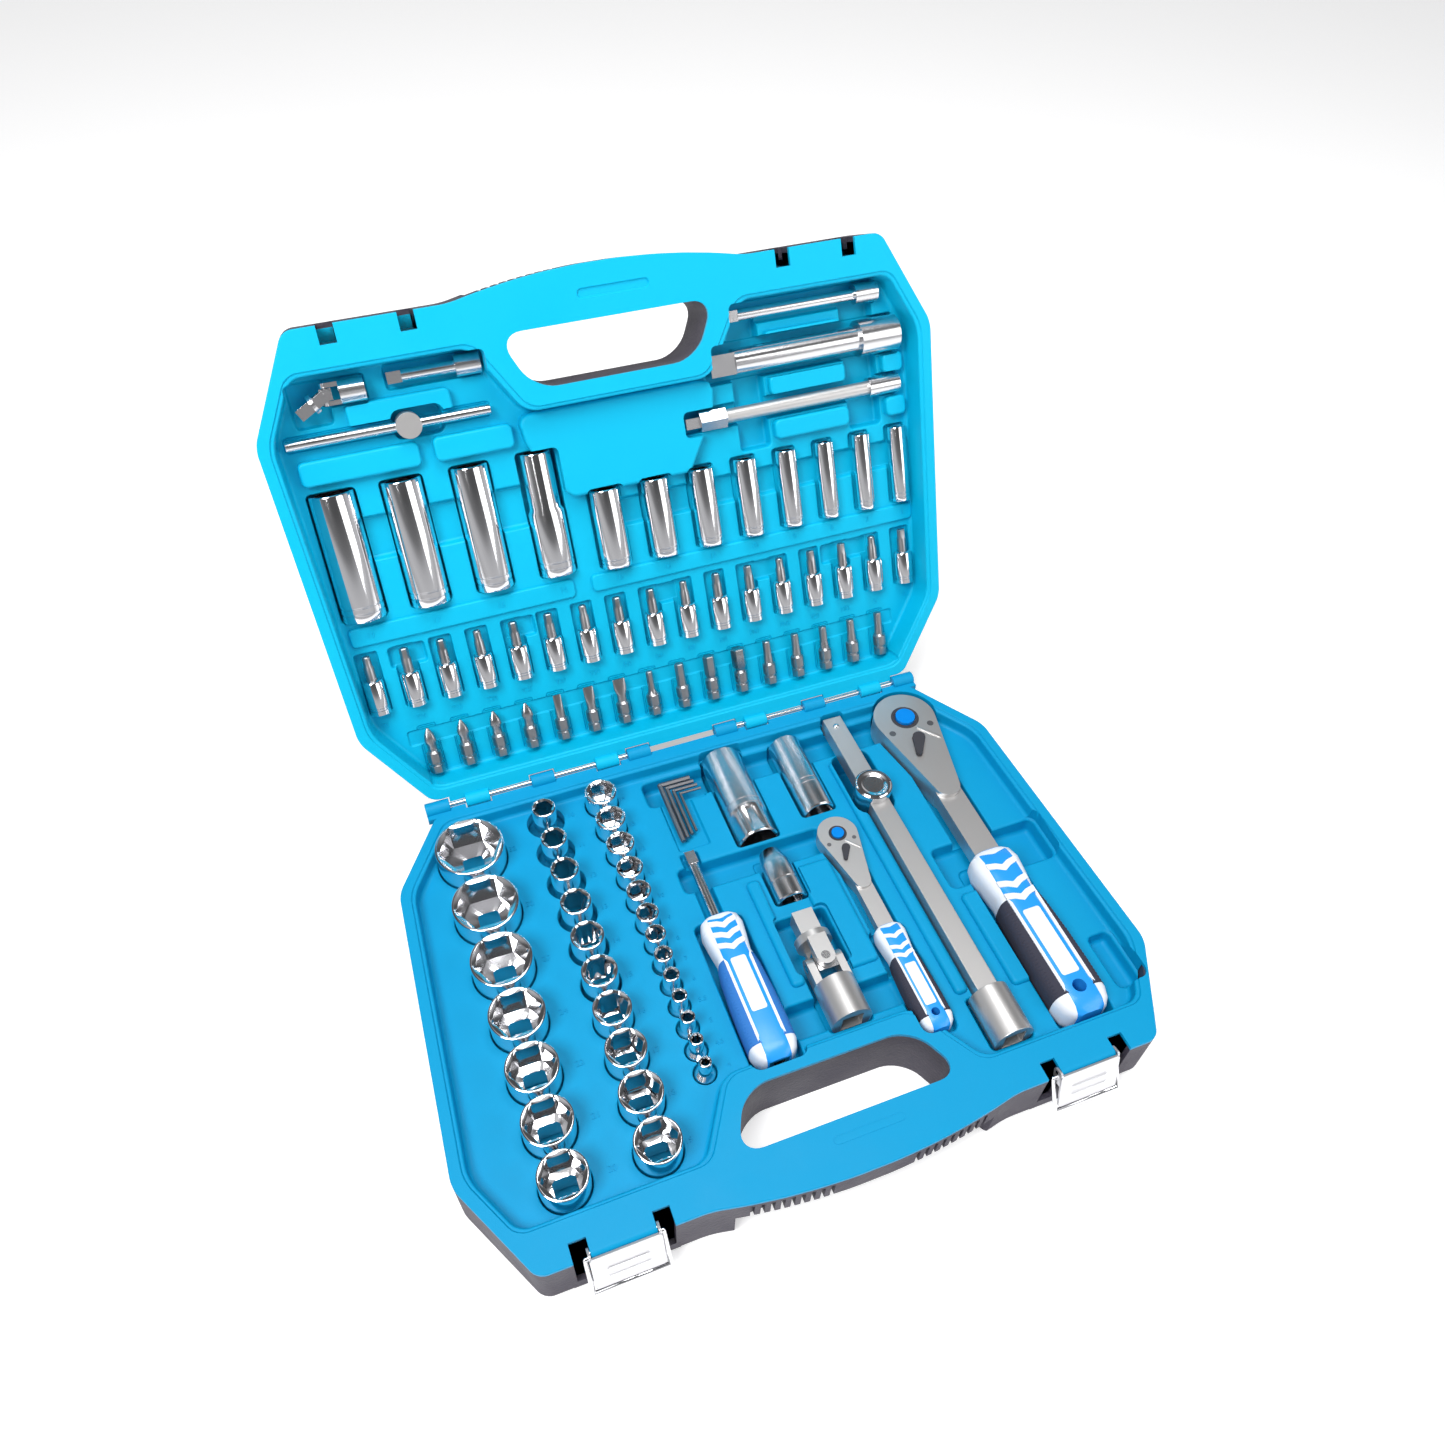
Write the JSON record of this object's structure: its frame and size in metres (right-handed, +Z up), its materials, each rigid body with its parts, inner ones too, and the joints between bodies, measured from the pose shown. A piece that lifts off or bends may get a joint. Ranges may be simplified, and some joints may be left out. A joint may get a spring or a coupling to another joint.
{
  "type": "socket wrench set in case",
  "caption": "Hinged two-part plastic case, open, with a moulded tray in each half holding sockets, ratchets, bars, extensions, bits and joints, and two wire-bail latches on the front.",
  "frame": {"origin": "on the underside of the base half, midway between its sides and midway between its back and front edges (the grip's bulge left out)", "axes": "+X along the hinge to the viewer's right, +Y towards the hinge and the open lid, +Z up"},
  "size_m": [0.404, 0.4619, 0.3032],
  "materials": {
    "shell": "matte, fine texture",
    "tray_base": "satin sheen",
    "tray_lid": "satin sheen",
    "chrome": "polished",
    "satin_steel": "satin",
    "plate_steel": "pressed sheet, semi-bright",
    "dark_steel": "dark grey satin",
    "black_plastic": "matte",
    "blue_plastic": "gloss",
    "handle_blue": "gloss, with white panel and edge lines",
    "grip_black": "matte, ribbed",
    "grip_blue": "matte",
    "insert_rubber": "matte"
  },
  "bodies": {
    "case_base": {"base_shell": "shell", "base_tray": "tray_base", "hinge_rods": "chrome", "latch_pins": "chrome"},
    "case_lid": {"lid_shell": "shell", "lid_tray": "tray_lid"},
    "latch_left": {"latch_plate_left": "plate_steel"},
    "bail_left": {"latch_bail_left": "chrome"},
    "latch_right": {"latch_plate_right": "plate_steel"},
    "bail_right": {"latch_bail_right": "chrome"},
    "large_sockets": {"sockets_large": "chrome"},
    "medium_sockets": {"sockets_medium": "chrome"},
    "small_sockets": {"sockets_small": "chrome"},
    "half_ratchet": {"half_ratchet_body": "satin_steel", "half_ratchet_cover": "satin_steel", "half_ratchet_screws": "dark_steel", "half_ratchet_handle": "handle_blue", "half_ratchet_grip": "grip_black"},
    "half_drive": {"half_ratchet_drive": "chrome"},
    "half_button": {"half_ratchet_button": "blue_plastic"},
    "half_selector": {"half_ratchet_lever": "black_plastic", "half_ratchet_pawl": "chrome"},
    "quarter_ratchet": {"quarter_ratchet_body": "satin_steel", "quarter_ratchet_cover": "satin_steel", "quarter_ratchet_screws": "dark_steel", "quarter_ratchet_handle": "handle_blue", "quarter_ratchet_grip": "grip_black"},
    "quarter_drive": {"quarter_ratchet_drive": "chrome"},
    "quarter_button": {"quarter_ratchet_button": "blue_plastic"},
    "quarter_selector": {"quarter_ratchet_lever": "black_plastic", "quarter_ratchet_pawl": "chrome"},
    "spinner": {"spinner_shank": "chrome", "spinner_handle": "handle_blue", "spinner_grip": "grip_blue"},
    "keys": {"hex_keys": "dark_steel"},
    "bar": {"slide_bar": "satin_steel"},
    "bar_head": {"slide_head": "chrome"},
    "half_joint": {"joint_half_socket": "satin_steel"},
    "half_joint_cross": {"joint_half_cross": "chrome"},
    "half_joint_driver": {"joint_half_driver": "satin_steel"},
    "spark_21": {"spark_socket_21": "chrome", "spark_insert_21": "insert_rubber"},
    "spark_16": {"spark_socket_16": "chrome", "spark_insert_16": "insert_rubber"},
    "adapter": {"bit_adapter": "chrome"},
    "deep_half": {"deep_sockets_half": "chrome"},
    "deep_quarter": {"deep_sockets_quarter": "chrome"},
    "bits_row": {"bit_sockets": "chrome", "bit_socket_tips": "dark_steel"},
    "drivers_row": {"driver_bits": "dark_steel"},
    "short_extension": {"extension_short": "chrome"},
    "long_extension": {"extension_long": "chrome"},
    "wide_extension": {"extension_half": "chrome"},
    "flex_extension": {"flex_ends": "chrome", "flex_cable": "satin_steel"},
    "tbar": {"tbar_rod": "chrome"},
    "tbar_slider": {"tbar_head": "satin_steel"},
    "quarter_joint": {"joint_quarter_socket": "chrome"},
    "quarter_joint_cross": {"joint_quarter_cross": "chrome"},
    "quarter_joint_driver": {"joint_quarter_driver": "chrome"}
  },
  "joints": [
    {"name": "lid_hinge", "type": "hinge", "parent": "case_base", "child": "case_lid", "pos_m": [0, 0.1455, 0.04], "axis": [-1, 0, 0], "range_deg": [-117, 0]},
    {"name": "latch_left_lever", "type": "hinge", "parent": "case_base", "child": "latch_left", "pos_m": [-0.13, -0.1375, 0.0368], "axis": [-1, 0, 0], "range_deg": [-16, 74]},
    {"name": "latch_left_bail", "type": "hinge", "parent": "latch_left", "child": "bail_left", "pos_m": [-0.13, -0.13819, 0.03221], "axis": [1, 0, 0], "range_deg": [-166.33, 0]},
    {"name": "latch_right_lever", "type": "hinge", "parent": "case_base", "child": "latch_right", "pos_m": [0.13, -0.1375, 0.0368], "axis": [-1, 0, 0], "range_deg": [-16, 74]},
    {"name": "latch_right_bail", "type": "hinge", "parent": "latch_right", "child": "bail_right", "pos_m": [0.13, -0.13819, 0.03221], "axis": [1, 0, 0], "range_deg": [-166.33, 0]},
    {"name": "large_sockets_lift", "type": "slide", "parent": "case_base", "child": "large_sockets", "axis": [0, 0, 1], "range_m": [0, 0.045]},
    {"name": "medium_sockets_lift", "type": "slide", "parent": "case_base", "child": "medium_sockets", "axis": [0, 0, 1], "range_m": [0, 0.045]},
    {"name": "small_sockets_lift", "type": "slide", "parent": "case_base", "child": "small_sockets", "axis": [0, 0, 1], "range_m": [0, 0.03]},
    {"name": "half_ratchet_lift", "type": "slide", "parent": "case_base", "child": "half_ratchet", "axis": [0, 0, 1], "range_m": [0, 0.04]},
    {"name": "half_drive_spin", "type": "hinge", "parent": "half_ratchet", "child": "half_drive", "pos_m": [0.14807, 0.11451, 0.0305], "axis": [0, 0, 1], "continuous": true},
    {"name": "half_button_press", "type": "slide", "parent": "half_drive", "child": "half_button", "axis": [0, 0, -1], "range_m": [0, 0.0018], "stiffness_N_per_m": 500},
    {"name": "half_selector_turn", "type": "hinge", "parent": "half_ratchet", "child": "half_selector", "pos_m": [0.14807, 0.09451, 0.0305], "axis": [0, 0, 1], "range_deg": [0, 50]},
    {"name": "quarter_ratchet_lift", "type": "slide", "parent": "case_base", "child": "quarter_ratchet", "axis": [0, 0, 1], "range_m": [0, 0.03]},
    {"name": "quarter_drive_spin", "type": "hinge", "parent": "quarter_ratchet", "child": "quarter_drive", "pos_m": [0.06706, 0.04552, 0.0305], "axis": [0, 0, 1], "continuous": true},
    {"name": "quarter_button_press", "type": "slide", "parent": "quarter_drive", "child": "quarter_button", "axis": [0, 0, -1], "range_m": [0, 0.0009], "stiffness_N_per_m": 500},
    {"name": "quarter_selector_turn", "type": "hinge", "parent": "quarter_ratchet", "child": "quarter_selector", "pos_m": [0.06706, 0.03344, 0.0305], "axis": [0, 0, 1], "range_deg": [0, 50]},
    {"name": "spinner_lift", "type": "slide", "parent": "case_base", "child": "spinner", "axis": [0, 0, 1], "range_m": [0, 0.03]},
    {"name": "keys_lift", "type": "slide", "parent": "case_base", "child": "keys", "axis": [0, 0, 1], "range_m": [0, 0.02]},
    {"name": "bar_lift", "type": "slide", "parent": "case_base", "child": "bar", "axis": [0, 0, 1], "range_m": [0, 0.04]},
    {"name": "bar_head_slide", "type": "slide", "parent": "bar", "child": "bar_head", "axis": [0, 1, 0], "range_m": [0, 0.025]},
    {"name": "half_joint_lift", "type": "slide", "parent": "case_base", "child": "half_joint", "axis": [0, 0, 1], "range_m": [0, 0.03]},
    {"name": "half_joint_tilt", "type": "hinge", "parent": "half_joint", "child": "half_joint_cross", "pos_m": [0.02303, -0.03288, 0.032], "axis": [1, 0, 0], "range_deg": [0, 35]},
    {"name": "half_joint_yaw", "type": "hinge", "parent": "half_joint_cross", "child": "half_joint_driver", "pos_m": [0.02303, -0.03288, 0.032], "axis": [0, 0, 1], "range_deg": [-12, 12]},
    {"name": "spark_21_lift", "type": "slide", "parent": "case_base", "child": "spark_21", "axis": [0, 0, 1], "range_m": [0, 0.03]},
    {"name": "spark_16_lift", "type": "slide", "parent": "case_base", "child": "spark_16", "axis": [0, 0, 1], "range_m": [0, 0.03]},
    {"name": "adapter_lift", "type": "slide", "parent": "case_base", "child": "adapter", "axis": [0, 0, 1], "range_m": [0, 0.03]},
    {"name": "deep_half_lift", "type": "slide", "parent": "case_lid", "child": "deep_half", "axis": [0, -0.891, 0.454], "range_m": [0, 0.03]},
    {"name": "deep_quarter_lift", "type": "slide", "parent": "case_lid", "child": "deep_quarter", "axis": [0, -0.891, 0.454], "range_m": [0, 0.02]},
    {"name": "bits_row_lift", "type": "slide", "parent": "case_lid", "child": "bits_row", "axis": [0, -0.891, 0.454], "range_m": [0, 0.02]},
    {"name": "drivers_row_lift", "type": "slide", "parent": "case_lid", "child": "drivers_row", "axis": [0, -0.891, 0.454], "range_m": [0, 0.015]},
    {"name": "short_extension_lift", "type": "slide", "parent": "case_lid", "child": "short_extension", "axis": [0, -0.891, 0.454], "range_m": [0, 0.02]},
    {"name": "long_extension_lift", "type": "slide", "parent": "case_lid", "child": "long_extension", "axis": [0, -0.891, 0.454], "range_m": [0, 0.02]},
    {"name": "wide_extension_lift", "type": "slide", "parent": "case_lid", "child": "wide_extension", "axis": [0, -0.891, 0.454], "range_m": [0, 0.025]},
    {"name": "flex_extension_lift", "type": "slide", "parent": "case_lid", "child": "flex_extension", "axis": [0, -0.891, 0.454], "range_m": [0, 0.02]},
    {"name": "tbar_lift", "type": "slide", "parent": "case_lid", "child": "tbar", "axis": [0, -0.891, 0.454], "range_m": [0, 0.03]},
    {"name": "tbar_head_slide", "type": "slide", "parent": "tbar", "child": "tbar_slider", "axis": [1, 0, 0], "range_m": [0, 0.012]},
    {"name": "quarter_joint_lift", "type": "slide", "parent": "case_lid", "child": "quarter_joint", "axis": [0, -0.891, 0.454], "range_m": [0, 0.02]},
    {"name": "quarter_joint_tilt", "type": "hinge", "parent": "quarter_joint", "child": "quarter_joint_cross", "pos_m": [-0.15958, 0.2725, 0.25622], "axis": [0, 0.454, 0.891], "range_deg": [0, 35]},
    {"name": "quarter_joint_yaw", "type": "hinge", "parent": "quarter_joint_cross", "child": "quarter_joint_driver", "pos_m": [-0.15958, 0.2725, 0.25622], "axis": [0, -0.891, 0.454], "range_deg": [-33, 0]}
  ]
}
